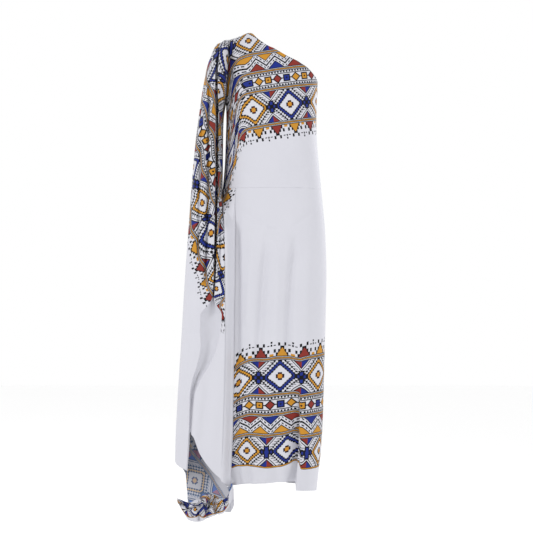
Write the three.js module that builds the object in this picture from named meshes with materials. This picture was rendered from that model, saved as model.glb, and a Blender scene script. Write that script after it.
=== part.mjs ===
// One-shoulder column dress with a long open drape from its one shoulder, filled out as when worn.
// Millimetres, +Z up, -Y the front of the dress, +X the wearer's left.
// The origin is on the inside of the cloth, on top of the wearer's right shoulder, which holds the dress.
import * as THREE from 'three';

// Driving dimensions
const WALL = 2;            // thickness of the cloth
const SEAM_GAP = 0.3;      // between two pieces sewn together
const EDGE_GAP = 0.6;      // between the front and the back of the drape, along the edge over the arm
const WAIST_Z = -498;      // the waist seam
const UNDERARM_Z = -220;   // the bottom of the armhole
const RIDGE_FALL = 170;    // height over which the shoulder rounds from its ridge to full depth
const ROUNDNESS = 2.4;     // exponent of the body's section, 2 being an ellipse

const CLOTH_COLOUR = 0xdedee8;

// Body of the dress, from the shoulder to the hem: side to side, and front and back of the side seams
const BODY = [
  { z: 20, left: -34, right: 272, front: 104, back: 90 },
  { z: -148, left: -32, right: 272, front: 112, back: 92 },
  { z: -270, left: -28, right: 268, front: 114, back: 90 },
  { z: -343, left: -30, right: 270, front: 110, back: 87 },
  { z: -403, left: -32, right: 275, front: 108, back: 85 },
  { z: -498, left: -40, right: 284, front: 108, back: 90 },
  { z: -643, left: -56, right: 297, front: 112, back: 106 },
  { z: -779, left: -61, right: 301, front: 114, back: 110 },
  { z: -930, left: -58, right: 298, front: 112, back: 109 },
  { z: -1112, left: -53, right: 293, front: 110, back: 107 },
  { z: -1234, left: -50, right: 290, front: 109, back: 105 },
  { z: -1353, left: -43, right: 283, front: 107, back: 103 },
  { z: -1426, left: -35, right: 275, front: 106, back: 101 },
  { z: -1500, left: -27, right: 267, front: 105, back: 100 },
];

// Ridge of the shoulder, by turn: 0 is the wearer's left side, 90 the middle of the front or back,
// 180 the right side
const RIDGE = [
  { turn: 0, z: 18 },
  { turn: 114, z: 18 },
  { turn: 127, z: 8 },
  { turn: 139, z: 1 },
  { turn: 152, z: -4 },
  { turn: 180, z: -20 },
];

// Top edge of the bodice: armhole, shoulder seam, then neckline. Crowd packs the rows towards the edge.
const BODICE_TOP = [
  { share: 0, turn: 180, z: UNDERARM_Z, crowd: 1.2 },
  { share: 0.05, turn: 171, z: -207, crowd: 1.3 },
  { share: 0.1, turn: 161, z: -165, crowd: 1.5 },
  { share: 0.15, turn: 154.5, z: -95, crowd: 1.8 },
  { share: 0.2, turn: 152, z: -4, crowd: 2 },
  { share: 0.27, turn: 139, z: 1, crowd: 2 },
  { share: 0.33, turn: 127, z: 8, crowd: 2 },
  { share: 0.4, turn: 114, z: 18, crowd: 2 },
  { share: 0.5, turn: 101.6, z: -14, crowd: 1.8 },
  { share: 0.65, turn: 77, z: -69, crowd: 1.4 },
  { share: 0.75, turn: 58.5, z: -91.5, crowd: 1.2 },
  { share: 0.85, turn: 40.8, z: -112, crowd: 1.2 },
  { share: 0.92, turn: 26.1, z: -129.5, crowd: 1.2 },
  { share: 1, turn: 0, z: -148, crowd: 1.2 },
];

const SKIRT_HEM = [
  { turn: 0, front: -1487, back: -1487 },
  { turn: 40, front: -1474, back: -1484 },
  { turn: 72, front: -1467, back: -1481 },
  { turn: 110, front: -1461, back: -1479 },
  { turn: 180, front: -1474, back: -1474 },
];

// Soft folds of the skirt, running down from their top to the hem, deepest there; above zero stands out
const FRONT_FOLDS = [
  { turn: 70, width: 9, top: -1000, depth: -15 },
  { turn: 94, width: 13, top: -620, depth: 7 },
  { turn: 46, width: 12, top: -700, depth: 8 },
];
const BACK_FOLDS = [
  { turn: 62, width: 10, top: -700, depth: -13 },
  { turn: 88, width: 12, top: -640, depth: 8 },
  { turn: 118, width: 10, top: -900, depth: -12 },
];

// Drape, front and back: the edge over the arm
const OUTER_EDGE = [
  { z: -18, x: -61, y: 0 },
  { z: -37, x: -70, y: -1 },
  { z: -55, x: -77, y: -2 },
  { z: -93, x: -90, y: -4 },
  { z: -140, x: -99.5, y: -6 },
  { z: -190, x: -108, y: -9 },
  { z: -250, x: -116, y: -12 },
  { z: -346, x: -128, y: -20 },
  { z: -478, x: -139, y: -30 },
  { z: -602, x: -147.5, y: -44 },
  { z: -769, x: -159, y: -56 },
  { z: -999, x: -172.5, y: -62 },
  { z: -1185, x: -184, y: -64 },
  { z: -1305, x: -190, y: -65 },
  { z: -1383, x: -192, y: -65 },
];

// Front of the drape: the crease that opens into a hollow lower down, its middle, half width and depth
const CREASE = [
  { z: -18, x: -40, half: 5, depth: 0 },
  { z: -70, x: -51, half: 5, depth: 1 },
  { z: -140, x: -56, half: 5, depth: 5 },
  { z: -500, x: -57, half: 6, depth: 8 },
  { z: -700, x: -59, half: 8, depth: 8 },
  { z: -835, x: -66, half: 8, depth: 10 },
  { z: -873, x: -70, half: 18, depth: 12 },
  { z: -906, x: -74, half: 28, depth: 15 },
  { z: -954, x: -76, half: 30, depth: 17 },
  { z: -1002, x: -80, half: 26, depth: 16 },
  { z: -1066, x: -98, half: 20, depth: 13 },
  { z: -1114, x: -118, half: 14, depth: 9 },
  { z: -1162, x: -131, half: 11, depth: 6 },
  { z: -1281, x: -140, half: 9, depth: 5 },
  { z: -1408, x: -149, half: 8, depth: 4 },
];
const LIP = 5 / 14;        // the crease takes the middle of the way across, from one lip to the other

// Front of the drape: its underarm seam down to the waist, then the edge of its full fold
const FRONT_INNER = [
  { z: -220, x: -31.5, y: 0, shut: 1 },
  { z: -258, x: -38, y: -4, shut: 1 },
  { z: -300, x: -41, y: -8, shut: 1 },
  { z: -450, x: -44, y: -20, shut: 1 },
  { z: -498, x: -44.5, y: -24, shut: 1 },
  { z: -550, x: -40, y: -32, shut: 0.7 },
  { z: -610, x: -33, y: -42, shut: 0.25 },
  { z: -680, x: -28.5, y: -48, shut: 0 },
  { z: -958, x: -28.5, y: -62, shut: 0 },
  { z: -1110, x: -31, y: -64, shut: 0 },
  { z: -1450, x: -42, y: -65, shut: 0 },
];

const BACK_INNER = [
  { z: -220, x: -31.5, y: 0 },
  { z: -258, x: -38, y: -4 },
  { z: -300, x: -41, y: -8 },
  { z: -450, x: -44, y: -20 },
  { z: -498, x: -44.5, y: -24 },
  { z: -560, x: -55, y: -32 },
  { z: -640, x: -66, y: -42 },
  { z: -779, x: -71, y: -50 },
  { z: -1100, x: -66, y: -52 },
  { z: -1390, x: -60, y: -52 },
  { z: -1440, x: -48, y: -58 },
  { z: -1468, x: -31, y: -64 },
  { z: -1495, x: -20, y: -66 },
  { z: -1580, x: -16, y: -66 },
];

// How far the drape stands out ahead of its edges, and behind them
const FULLNESS = [
  { z: -18, ahead: 70, behind: 58 },
  { z: -120, ahead: 84, behind: 66 },
  { z: -220, ahead: 90, behind: 72 },
  { z: -498, ahead: 90, behind: 74 },
  { z: -650, ahead: 78, behind: 76 },
  { z: -800, ahead: 72, behind: 80 },
  { z: -1100, ahead: 60, behind: 78 },
  { z: -1330, ahead: 50, behind: 62 },
  { z: -1420, ahead: 45, behind: 34 },
  { z: -1500, ahead: 45, behind: 16 },
];

// The strip of the drape's front that lies over the skirt, and its free edge
const STRIP_EDGE = [
  { z: -498, x: 5 },
  { z: -650, x: 4 },
  { z: -960, x: 0 },
  { z: -1270, x: -4 },
  { z: -1450, x: -12 },
];

// Bottom edge of the drape's front, by the share of the way across: an open fold parts its two tails
const FRONT_BOTTOM = [
  { share: 0, z: -1376 },
  { share: 0.14, z: -1388 },
  { share: 0.36, z: -1404 },
  { share: 0.43, z: -1408 },
  { share: 0.5, z: -1281 },
  { share: 0.643, z: -1290 },
  { share: 0.714, z: -1351 },
  { share: 0.786, z: -1390 },
  { share: 0.857, z: -1414 },
  { share: 1, z: -1432 },
];
const STRIP_BOTTOM = -1450;

// Tail of the drape's back, below the front's bottom edge
const TAIL_EDGE = [
  { z: -1383, x: -192 },
  { z: -1400, x: -172 },
  { z: -1424, x: -158 },
  { z: -1500, x: -152 },
  { z: -1580, x: -146 },
];
const TAIL_TURN_Z = -1468;  // where the tail starts to turn forwards
const TAIL_HEM_Z = -1548;

// The turned end of the tail, from where it leaves the tail round to its point
const TURNED_END = [
  { share: 0, x: -31, y: -64, top: TAIL_TURN_Z, hem: TAIL_HEM_Z },
  { share: 0.1, x: -14, y: -70, top: -1460, hem: -1520 },
  { share: 0.2, x: -4, y: -84, top: -1458, hem: -1498 },
  { share: 0.3, x: -10, y: -100, top: -1466, hem: -1506 },
  { share: 0.42, x: -34, y: -110, top: -1496, hem: -1540 },
  { share: 0.55, x: -66, y: -113, top: -1481, hem: -1550 },
  { share: 0.68, x: -90, y: -112, top: -1481, hem: -1560 },
  { share: 0.8, x: -117, y: -113, top: -1495, hem: -1568 },
  { share: 0.9, x: -143, y: -112, top: -1508, hem: -1563 },
  { share: 0.97, x: -166, y: -110, top: -1500, hem: -1532 },
  { share: 1, x: -182, y: -108, top: -1494, hem: -1505 },
];

// Upright folds of the drape's back, by the share of the way across
const DRAPE_BACK_FOLDS = [
  { share: 0.3, width: 0.07, top: -150, depth: 9 },
  { share: 0.55, width: 0.08, top: -300, depth: 12 },
  { share: 0.78, width: 0.06, top: -560, depth: 9 },
];

// Rows and columns of the facets
const BODICE_ROWS = 13;
const FRONT_BODICE_COLUMNS = 20;
const BACK_BODICE_COLUMNS = 20;
const SKIRT_ROWS = 15;
const FRONT_SKIRT_COLUMNS = 26;
const BACK_SKIRT_COLUMNS = 20;
const SLEEVE_TOP_ROWS = 11;
const SLEEVE_LOW_ROWS = 16;
const FRONT_DRAPE_COLUMNS = 14;
const BACK_DRAPE_COLUMNS = 12;
const STRIP_COLUMNS = 4;
const TAIL_ROWS = 4;
const TURNED_COLUMNS = 12;

const lerp = (a, b, t) => a + (b - a) * t;
const clamp = (value, low, high) => Math.min(high, Math.max(low, value));
const smooth = (t) => {
  const s = clamp(t, 0, 1);
  return s * s * (3 - 2 * s);
};

// Value of a table's column at a key, along a smooth curve through its rows
function read(rows, key, at, column) {
  const rising = rows[rows.length - 1][key] > rows[0][key];
  const order = rising ? rows : [...rows].reverse();
  const last = order.length - 1;
  if (at <= order[0][key]) {
    return order[0][column];
  }
  if (at >= order[last][key]) {
    return order[last][column];
  }
  let i = 0;
  while (order[i + 1][key] < at) {
    i += 1;
  }
  const slope = (k) => {
    if (k < 0 || k >= last) {
      return null;
    }
    return (order[k + 1][column] - order[k][column]) / (order[k + 1][key] - order[k][key]);
  };
  const tangent = (k) => {
    const before = slope(k - 1) ?? slope(k);
    const after = slope(k) ?? slope(k - 1);
    return before * after <= 0 ? 0 : (2 * before * after) / (before + after);
  };
  const span = order[i + 1][key] - order[i][key];
  const t = (at - order[i][key]) / span;
  const u = 1 - t;
  return order[i][column] * u * u * (1 + 2 * t) + order[i + 1][column] * t * t * (3 - 2 * t)
    + span * t * u * (tangent(i) * u - tangent(i + 1) * t);
}

// Rounding of the cloth over the shoulder, from 0 on the ridge to 1 at full depth
const dome = (drop) => Math.sqrt(1 - (1 - clamp(drop, 0, 1)) ** 2);

const roundedPower = (value) => Math.sign(value) * Math.abs(value) ** (2 / ROUNDNESS);

// A point of the body of the dress; side is -1 for the front and 1 for the back
function bodyPoint(side, turn, z, out = 0) {
  const left = read(BODY, 'z', z, 'left');
  const right = read(BODY, 'z', z, 'right');
  const depth = read(BODY, 'z', z, side < 0 ? 'front' : 'back');
  const angle = THREE.MathUtils.degToRad(turn);
  const rise = dome((read(RIDGE, 'turn', turn, 'z') - z) / RIDGE_FALL);
  return new THREE.Vector3(
    (left + right) / 2 + ((right - left) / 2) * roundedPower(Math.cos(angle)) + out * Math.cos(angle),
    side * (depth * roundedPower(Math.sin(angle)) * rise + out * Math.sin(angle)),
    z,
  );
}

// Height of a fold at a place across the cloth
const fold = (offset, width) => Math.exp(-((offset / width) ** 2));

// A knot of a sheet. Seam marks a knot on a seam between a front and a back piece.
const knot = (point, seam = false) => ({ point, seam });

function bodice(side, columns) {
  const rows = [];
  for (let r = 0; r <= BODICE_ROWS; r += 1) {
    const row = [];
    for (let c = 0; c <= columns; c += 1) {
      const share = c / columns;
      const up = 1 - (r / BODICE_ROWS) ** read(BODICE_TOP, 'share', share, 'crowd');
      const turn = lerp(180 * (1 - share), read(BODICE_TOP, 'share', share, 'turn'), up);
      let top = read(BODICE_TOP, 'share', share, 'z');
      if (share > 0.2 && share < 0.4) {
        top = read(RIDGE, 'turn', read(BODICE_TOP, 'share', share, 'turn'), 'z');
      }
      const z = lerp(WAIST_Z + SEAM_GAP / 2, top, up);
      const point = bodyPoint(side, turn, z);
      const onRidge = r === 0 && share > 0.199 && share < 0.401;
      const seam = c === 0 || c === columns || onRidge;
      if (seam) {
        point.y = 0;
      }
      point.y += (side * SEAM_GAP) / 2;
      row.push(knot(point, seam));
    }
    rows.push(row);
  }
  return rows;
}

function skirt(side, columns, folds) {
  const rows = [];
  for (let r = 0; r <= SKIRT_ROWS; r += 1) {
    const row = [];
    for (let c = 0; c <= columns; c += 1) {
      const turn = 180 * (1 - c / columns);
      const hem = read(SKIRT_HEM, 'turn', turn, side < 0 ? 'front' : 'back');
      const z = lerp(WAIST_Z - SEAM_GAP / 2, hem, (r / SKIRT_ROWS) ** 0.9);
      const free = Math.sin(THREE.MathUtils.degToRad(turn)) ** 2;
      let out = 0;
      for (const f of folds) {
        out += f.depth * fold(turn - f.turn, f.width) * smooth((f.top - z) / (f.top - hem)) * free;
      }
      const point = bodyPoint(side, turn, z, out);
      const seam = c === 0 || c === columns;
      if (seam) {
        point.y = 0;
      }
      point.y += (side * SEAM_GAP) / 2;
      row.push(knot(point, seam));
    }
    rows.push(row);
  }
  return rows;
}

// Turn of the armhole on the body at a height
const ARMHOLE = BODICE_TOP.filter((row) => row.share <= 0.2);

function innerEdge(side, z) {
  if (z > UNDERARM_Z) {
    const point = bodyPoint(side, read(ARMHOLE, 'z', z, 'turn'), z);
    return { x: point.x - 2.6, y: point.y };
  }
  const table = side < 0 ? FRONT_INNER : BACK_INNER;
  return { x: read(table, 'z', z, 'x'), y: read(table, 'z', z, 'y') };
}

// A point of the drape, by its way across (0 at the edge over the arm, 1 at the inner edge) and its height
function drapePoint(side, across, z, level) {
  const inner = innerEdge(side, z);
  let outer = read(OUTER_EDGE, 'z', z, 'x');
  let x = 0;
  if (side < 0) {
    const crease = read(CREASE, 'z', z, 'x');
    const half = read(CREASE, 'z', z, 'half');
    if (across < LIP) {
      x = lerp(outer, crease - half, 1 - Math.cos((Math.PI / 2) * (across / LIP)));
    } else if (across > 1 - LIP) {
      x = lerp(crease + half, inner.x, Math.sin((Math.PI / 2) * ((across - 1 + LIP) / LIP)));
    } else {
      x = crease + half * ((across - 0.5) / (0.5 - LIP));
    }
  } else {
    if (z < OUTER_EDGE[OUTER_EDGE.length - 1].z) {
      outer = read(TAIL_EDGE, 'z', z, 'x');
    }
    x = lerp(outer, inner.x, (1 - Math.cos(Math.PI * across)) / 2);
  }
  const share = clamp((x - outer) / (inner.x - outer), 0, 1);
  const edge = read(OUTER_EDGE, 'z', z, 'y');
  let standing = (1 - Math.abs(2 * share - 1) ** 2.3) ** (1 / 2.3);
  if (side < 0 && share > 0.5) {
    standing = lerp(1, standing, z > UNDERARM_Z ? 1 : read(FRONT_INNER, 'z', z, 'shut'));
  }
  if (side > 0) {
    const flat = smooth((-1380 - z) / 60);
    standing = lerp(standing, Math.sin(Math.PI * share), flat);
  }
  const full = read(FULLNESS, 'z', z, side < 0 ? 'ahead' : 'behind') * dome(level / 150);
  let y = lerp(edge, inner.y, share) + side * full * standing;
  if (side < 0) {
    const off = Math.min(1, Math.abs(across - 0.5) / (0.5 - LIP));
    y += read(CREASE, 'z', z, 'depth') * (1 - off ** 2.5);
  } else {
    for (const f of DRAPE_BACK_FOLDS) {
      const deep = smooth((f.top - z) / 400) * (1 - smooth((-1300 - z) / 120));
      y -= f.depth * fold(share - f.share, f.width) * deep;
    }
  }
  return new THREE.Vector3(x, y, z);
}

function drapeRows(side, columns, bottomOf) {
  const rows = [];
  for (let r = 0; r <= SLEEVE_TOP_ROWS + SLEEVE_LOW_ROWS; r += 1) {
    const row = [];
    for (let c = 0; c <= columns; c += 1) {
      const across = c / columns;
      const share = (1 - Math.cos(Math.PI * across)) / 2;
      const level = -WAIST_Z * Math.min(1, r / SLEEVE_TOP_ROWS) ** 2;
      const low = Math.max(0, r - SLEEVE_TOP_ROWS) / SLEEVE_LOW_ROWS;
      const started = lerp(lerp(-18, -4, share), WAIST_Z, level / -WAIST_Z);
      const z = lerp(started, bottomOf(across), low);
      const point = drapePoint(side, across, z, level);
      const underarm = c === columns && r <= SLEEVE_TOP_ROWS && z < UNDERARM_Z + 15;
      const sewn = c === 0 || r === 0 || underarm;
      if (r === 0) {
        point.x = lerp(-61, innerEdge(side, -4).x, share);
        point.y = 0;
      }
      point.y += (side * EDGE_GAP) / 2;
      row.push(knot(point, sewn));
    }
    rows.push(row);
  }
  return rows;
}

// Front of the drape: the tube over the arm, then on below the waist into a strip that lies over the skirt
function drapeFront() {
  const rows = drapeRows(-1, FRONT_DRAPE_COLUMNS, (across) => read(FRONT_BOTTOM, 'share', across, 'z'));
  for (let r = 0; r < rows.length; r += 1) {
    const main = rows[r][FRONT_DRAPE_COLUMNS].point;
    for (let c = 1; c <= STRIP_COLUMNS; c += 1) {
      if (r < SLEEVE_TOP_ROWS) {
        rows[r].push(null);
        continue;
      }
      const across = c / STRIP_COLUMNS;
      const low = (r - SLEEVE_TOP_ROWS) / SLEEVE_LOW_ROWS;
      const z = lerp(WAIST_Z, lerp(main.z, STRIP_BOTTOM, across), low);
      const edgeX = read(STRIP_EDGE, 'z', z, 'x');
      const edge = clothAt(edgeX, z, 9);
      const sewn = bodyPoint(-1, lerp(168, 127, across), z, WALL + 1.3);
      const free = smooth((WAIST_Z - z) / 130);
      const x = lerp(sewn.x, lerp(main.x, edgeX, across), free);
      const y = lerp(sewn.y, lerp(main.y, edge, smooth(across)), free);
      rows[r].push(knot(new THREE.Vector3(x, y, z)));
    }
  }
  return rows;
}

// Depth of the front of the skirt at a place, brought forward by a clearance
function clothAt(x, z, clearance) {
  const left = read(BODY, 'z', z, 'left');
  const right = read(BODY, 'z', z, 'right');
  const across = clamp(Math.abs((x - (left + right) / 2) / ((right - left) / 2)), 0, 1);
  const depth = read(BODY, 'z', z, 'front');
  return -depth * (1 - across ** ROUNDNESS) ** (1 / ROUNDNESS) - clearance;
}

// Back of the drape: down to the tail, whose inner end turns forwards and back across itself
function drapeBack() {
  const rows = drapeRows(1, BACK_DRAPE_COLUMNS, () => TAIL_TURN_Z);
  const turnRow = SLEEVE_TOP_ROWS + SLEEVE_LOW_ROWS;
  for (let r = 1; r <= TAIL_ROWS; r += 1) {
    const row = [];
    for (let c = 0; c <= BACK_DRAPE_COLUMNS; c += 1) {
      const z = lerp(TAIL_TURN_Z, TAIL_HEM_Z, r / TAIL_ROWS);
      const point = drapePoint(1, c / BACK_DRAPE_COLUMNS, z, 500);
      point.y += EDGE_GAP / 2;
      row.push(knot(point));
    }
    rows.push(row);
  }
  for (let r = 0; r < rows.length; r += 1) {
    for (let c = 1; c <= TURNED_COLUMNS; c += 1) {
      if (r < turnRow) {
        rows[r].push(null);
        continue;
      }
      const share = c / TURNED_COLUMNS;
      const down = (r - turnRow) / TAIL_ROWS;
      const start = rows[r][BACK_DRAPE_COLUMNS].point;
      const near = 1 - smooth(share / 0.2);
      const top = read(TURNED_END, 'share', share, 'top');
      const hem = read(TURNED_END, 'share', share, 'hem');
      const x = read(TURNED_END, 'share', share, 'x') + near * (start.x - TURNED_END[0].x);
      const y = read(TURNED_END, 'share', share, 'y') + near * (start.y - TURNED_END[0].y);
      rows[r].push(knot(new THREE.Vector3(x, y, lerp(top, hem, down))));
    }
  }
  return rows;
}

// Closed wall of cloth on a sheet of knots.
// Facing is 1 where the rows, top to bottom, show their face to the front.
function wall(name, rows, facing) {
  const index = new Map();
  const knots = [];
  rows.forEach((row, r) => row.forEach((entry, c) => {
    if (entry) {
      index.set(`${r},${c}`, knots.length);
      knots.push(entry);
    }
  }));
  const quads = [];
  for (let r = 0; r + 1 < rows.length; r += 1) {
    for (let c = 0; c + 1 < rows[r].length; c += 1) {
      const around = [[r, c], [r + 1, c], [r + 1, c + 1], [r, c + 1]];
      const corners = around.map(([i, j]) => index.get(`${i},${j}`));
      if (corners.every((corner) => corner !== undefined)) {
        quads.push(facing > 0 ? corners : corners.reverse());
      }
    }
  }
  const normals = knots.map(() => new THREE.Vector3());
  const one = new THREE.Vector3();
  const other = new THREE.Vector3();
  for (const [a, b, c, d] of quads) {
    one.subVectors(knots[c].point, knots[a].point);
    other.subVectors(knots[d].point, knots[b].point);
    one.cross(other).normalize();
    [a, b, c, d].forEach((corner) => normals[corner].add(one));
  }
  const positions = [];
  for (const way of [0.5, -0.5]) {
    knots.forEach(({ point, seam }, i) => {
      if (seam) {
        normals[i].y = 0;
      }
      const at = point.clone().addScaledVector(normals[i].normalize(), way * WALL);
      positions.push(at.x, at.y, at.z);
    });
  }
  const n = knots.length;
  const edges = new Set();
  const faces = [];
  for (const [a, b, c, d] of quads) {
    faces.push(a, b, c, a, c, d, a + n, c + n, b + n, a + n, d + n, c + n);
    [[a, b], [b, c], [c, d], [d, a]].forEach(([i, j]) => edges.add(`${i},${j}`));
  }
  for (const edge of edges) {
    const [a, b] = edge.split(',').map(Number);
    if (!edges.has(`${b},${a}`)) {
      faces.push(b, a, a + n, b, a + n, b + n);
    }
  }
  const geometry = new THREE.BufferGeometry();
  geometry.setAttribute('position', new THREE.Float32BufferAttribute(positions, 3));
  geometry.setIndex(faces);
  geometry.computeVertexNormals();
  const material = new THREE.MeshStandardMaterial({ color: CLOTH_COLOUR, roughness: 0.75 });
  material.name = `${name}_cloth`;
  const mesh = new THREE.Mesh(geometry, material);
  mesh.name = name;
  return mesh;
}

const dress = new THREE.Group();
dress.name = 'one_shoulder_dress';
dress.add(wall('front_bodice', bodice(-1, FRONT_BODICE_COLUMNS), 1));
dress.add(wall('back_bodice', bodice(1, BACK_BODICE_COLUMNS), -1));
dress.add(wall('front_skirt', skirt(-1, FRONT_SKIRT_COLUMNS, FRONT_FOLDS), 1));
dress.add(wall('back_skirt', skirt(1, BACK_SKIRT_COLUMNS, BACK_FOLDS), -1));
dress.add(wall('drape_front', drapeFront(), 1));
dress.add(wall('drape_back', drapeBack(), -1));

export default dress;
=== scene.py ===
import functools
import math

import bpy
import numpy as np
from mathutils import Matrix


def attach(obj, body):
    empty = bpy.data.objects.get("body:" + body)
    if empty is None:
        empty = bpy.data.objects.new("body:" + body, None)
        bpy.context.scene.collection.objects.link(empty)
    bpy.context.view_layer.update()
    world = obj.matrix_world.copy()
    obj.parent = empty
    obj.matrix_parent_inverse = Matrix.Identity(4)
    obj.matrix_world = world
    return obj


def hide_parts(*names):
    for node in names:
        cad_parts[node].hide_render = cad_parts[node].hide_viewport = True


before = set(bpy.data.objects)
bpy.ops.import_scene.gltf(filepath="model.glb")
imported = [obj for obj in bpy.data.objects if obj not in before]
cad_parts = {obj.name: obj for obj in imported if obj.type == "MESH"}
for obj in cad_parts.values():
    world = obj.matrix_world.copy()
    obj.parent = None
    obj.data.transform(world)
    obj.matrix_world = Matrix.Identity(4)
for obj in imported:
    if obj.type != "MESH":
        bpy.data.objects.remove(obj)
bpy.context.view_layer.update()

# Sizes in mm, as in the CAD part: +Z up, -Y the front, +X the wearer's left
FRONT, BACK = -1, 1
WAIST = -498.0
UNDERARM = -220.0
THICK = 0.9
GAP = 0.3
BODY_CURVE, DRAPE_CURVE = 2.4, 2.3  # the powers of their superellipses
BODY_ROUNDS, DRAPE_ROUNDS, CREASE_DEEPENS = 170.0, 150.0, 60.0  # over these drops from the shoulder
WAIST_SEAM = 0.16  # between the bodice and the skirt


def table(names, *rows):
    """Named columns from rows."""
    return {n: np.array(c, float) for n, c in zip(names.split(), zip(*rows))}


# The body by height: its edges as seen from the front, and its depths in front and behind. A turn goes
# round either half, from 0 on the wearer's left side to 180 on the right.
BODY = table(
    "z left right front back",
    (20, -34, 272, 104, 90), (-148, -32, 272, 112, 92), (-270, -28, 268, 114, 90),
    (-343, -30, 270, 110, 87), (-403, -32, 275, 108, 85), (-498, -40, 284, 108, 90),
    (-643, -56, 297, 112, 106), (-779, -61, 301, 114, 110), (-930, -58, 298, 112, 109),
    (-1112, -53, 293, 110, 107), (-1234, -50, 290, 109, 105), (-1353, -43, 283, 107, 103),
    (-1426, -35, 275, 106, 101), (-1500, -27, 267, 105, 100),
)
# The height at which the body's front and back meet
RIDGE = table("turn z", (0, 18), (114, 18), (127, 8), (139, 1), (152, -4), (180, -20))
# The bodice's top edge, from under the arm over the shoulder to the wearer's left side. Crowd gathers the
# rows of the bodice towards it.
BODICE_TOP = table(
    "share turn z crowd",
    (0, 180, UNDERARM, 1.2), (0.05, 171, -207, 1.3), (0.1, 161, -165, 1.5), (0.15, 154.5, -95, 1.8),
    (0.2, 152, -4, 2), (0.27, 139, 1, 2), (0.33, 127, 8, 2), (0.4, 114, 18, 2), (0.5, 101.6, -14, 1.8),
    (0.65, 77, -69, 1.4), (0.75, 58.5, -91.5, 1.2), (0.85, 40.8, -112, 1.2), (0.92, 26.1, -129.5, 1.2),
    (1, 0, -148, 1.2),
)
SKIRT_HEM = table(
    "turn front back",
    (0, -1487, -1487), (40, -1476, -1482), (61, -1470, -1477), (66, -1447, -1475),
    (80, -1446, -1474), (94, -1449, -1474), (106, -1451, -1474), (125, -1454, -1474), (180, -1474, -1474),
)
LAP_EDGE, LAP_INNER = 61.5, 65.0  # turns of the lap low in the front skirt
LAP_TOP, LAP_AHEAD, LAP_BACK = -1040.0, 7.0, 17.0
LAP_SIDEWAYS = (9.0, 65.5, 3.0), (-5.0, 61.0, 2.4)  # how far, at which turn and how widely
HEM_BAND_TOP, HEM_LEAN = -1392.0, 0.34  # the plain hem below the print leans in by this much of its length
# The drape by height: its outer edge, its main crease and its inner edges in front and behind. Shut is 1
# where the front's inner edge is sewn to the body and 0 where it hangs open.
OUTER = table(
    "z x y",
    (-18, -61, 0), (-37, -70, -1), (-55, -77, -2), (-93, -90, -4), (-140, -99.5, -6), (-190, -108, -9),
    (-250, -116, -12), (-346, -128, -20), (-478, -139, -30), (-602, -147.5, -44), (-769, -159, -56),
    (-999, -172.5, -62), (-1185, -184, -64), (-1305, -190, -65), (-1383, -192, -65),
)
CREASE = table(
    "z x half depth",
    (-18, -40, 3, 0), (-70, -51, 3.8, 14), (-140, -56, 5, 32), (-300, -56, 5.2, 40), (-500, -57, 5, 40),
    (-700, -59, 4.6, 34), (-800, -62, 4, 26), (-850, -66, 3.4, 18), (-873, -69, 13, 18),
    (-906, -73, 34, 22), (-954, -75, 33, 22), (-1002, -79, 27, 20), (-1066, -98, 20, 18),
    (-1114, -120, 13, 15), (-1162, -133, 8, 12), (-1281, -140, 5, 8), (-1408, -149, 4, 6),
)
LIP = 5 / 14  # of the drape front's columns, on each side of the crease
FRONT_INNER = table(
    "z x y shut",
    (-220, -31.5, 0, 1), (-258, -37, -4, 1), (-300, -39, -8, 1), (-450, -40, -20, 1), (-498, -41, -24, 1),
    (-550, -40, -32, 0.7), (-610, -33, -42, 0.25), (-680, -28.5, -48, 0), (-958, -28.5, -62, 0),
    (-1110, -31, -64, 0), (-1450, -42, -65, 0),
)
BACK_INNER = table(
    "z x y",
    (-220, -31.5, 0), (-258, -37, -4), (-300, -39, -8), (-450, -40, -20), (-498, -41, -24),
    (-560, -55, -32), (-640, -66, -42), (-779, -71, -50), (-1100, -66, -52), (-1390, -60, -50),
    (-1436, -40, -50), (-1468, -24, -53), (-1495, -16, -60), (-1580, -12, -64),
)
# How far the drape stands out from the line between its outer and inner edges
FULLNESS = table(
    "z ahead behind",
    (-18, 70, 58), (-120, 84, 66), (-220, 90, 72), (-498, 90, 74), (-650, 78, 76),
    (-800, 72, 80), (-1100, 60, 78), (-1330, 50, 62), (-1420, 45, 34), (-1500, 45, 16),
)
# The strip over the skirt beside the drape: its free edge, the turns of the waist that its top is sewn
# along, and its clearance in front of the skirt
STRIP_EDGE = table("z x", (-498, 5), (-650, 4), (-960, 0), (-1270, -4), (-1450, -12))
STRIP_SEWN = 168, 132
STRIP_CLEAR = 6.2
# The bottom edge of the drape's front, from its outer edge to the strip, then that of the strip
FRONT_BOTTOM = table(
    "share z",
    (0, -1376), (0.14, -1388), (0.36, -1404), (0.46, -1408), (0.5, -1281), (0.643, -1290), (0.714, -1351),
    (0.786, -1390), (0.857, -1415), (1, -1438),
)
STRIP_BOTTOM = -1466.0
# The tail of the drape's back, and its end, which turns forwards and back across itself
TAIL_EDGE = table("z x", (-1383, -192), (-1400, -172), (-1424, -158), (-1500, -152), (-1580, -146))
TAIL_TURN, TAIL_HEM = -1468.0, -1548.0
TURNED_END = table(
    "share x y top hem",
    (0, -24, -53, TAIL_TURN, TAIL_HEM), (0.1, -7, -61, -1454, -1520), (0.2, -4, -84, -1452, -1498),
    (0.3, -10, -100, -1466, -1506), (0.42, -34, -110, -1496, -1540), (0.55, -66, -113, -1481, -1550),
    (0.68, -90, -112, -1481, -1560), (0.8, -117, -113, -1495, -1568), (0.9, -143, -112, -1508, -1563),
    (0.97, -166, -110, -1500, -1532), (1, -182, -108, -1494, -1505),
)
# The long folds of the drape's back, by their share of the way across and the height they start at
DRAPE_BACK_FOLDS = table(
    "share width top depth",
    (0.3, 0.05, -150, 11), (0.55, 0.06, -300, 15), (0.78, 0.045, -560, 11), (0.42, 0.03, -700, 5),
)

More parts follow.
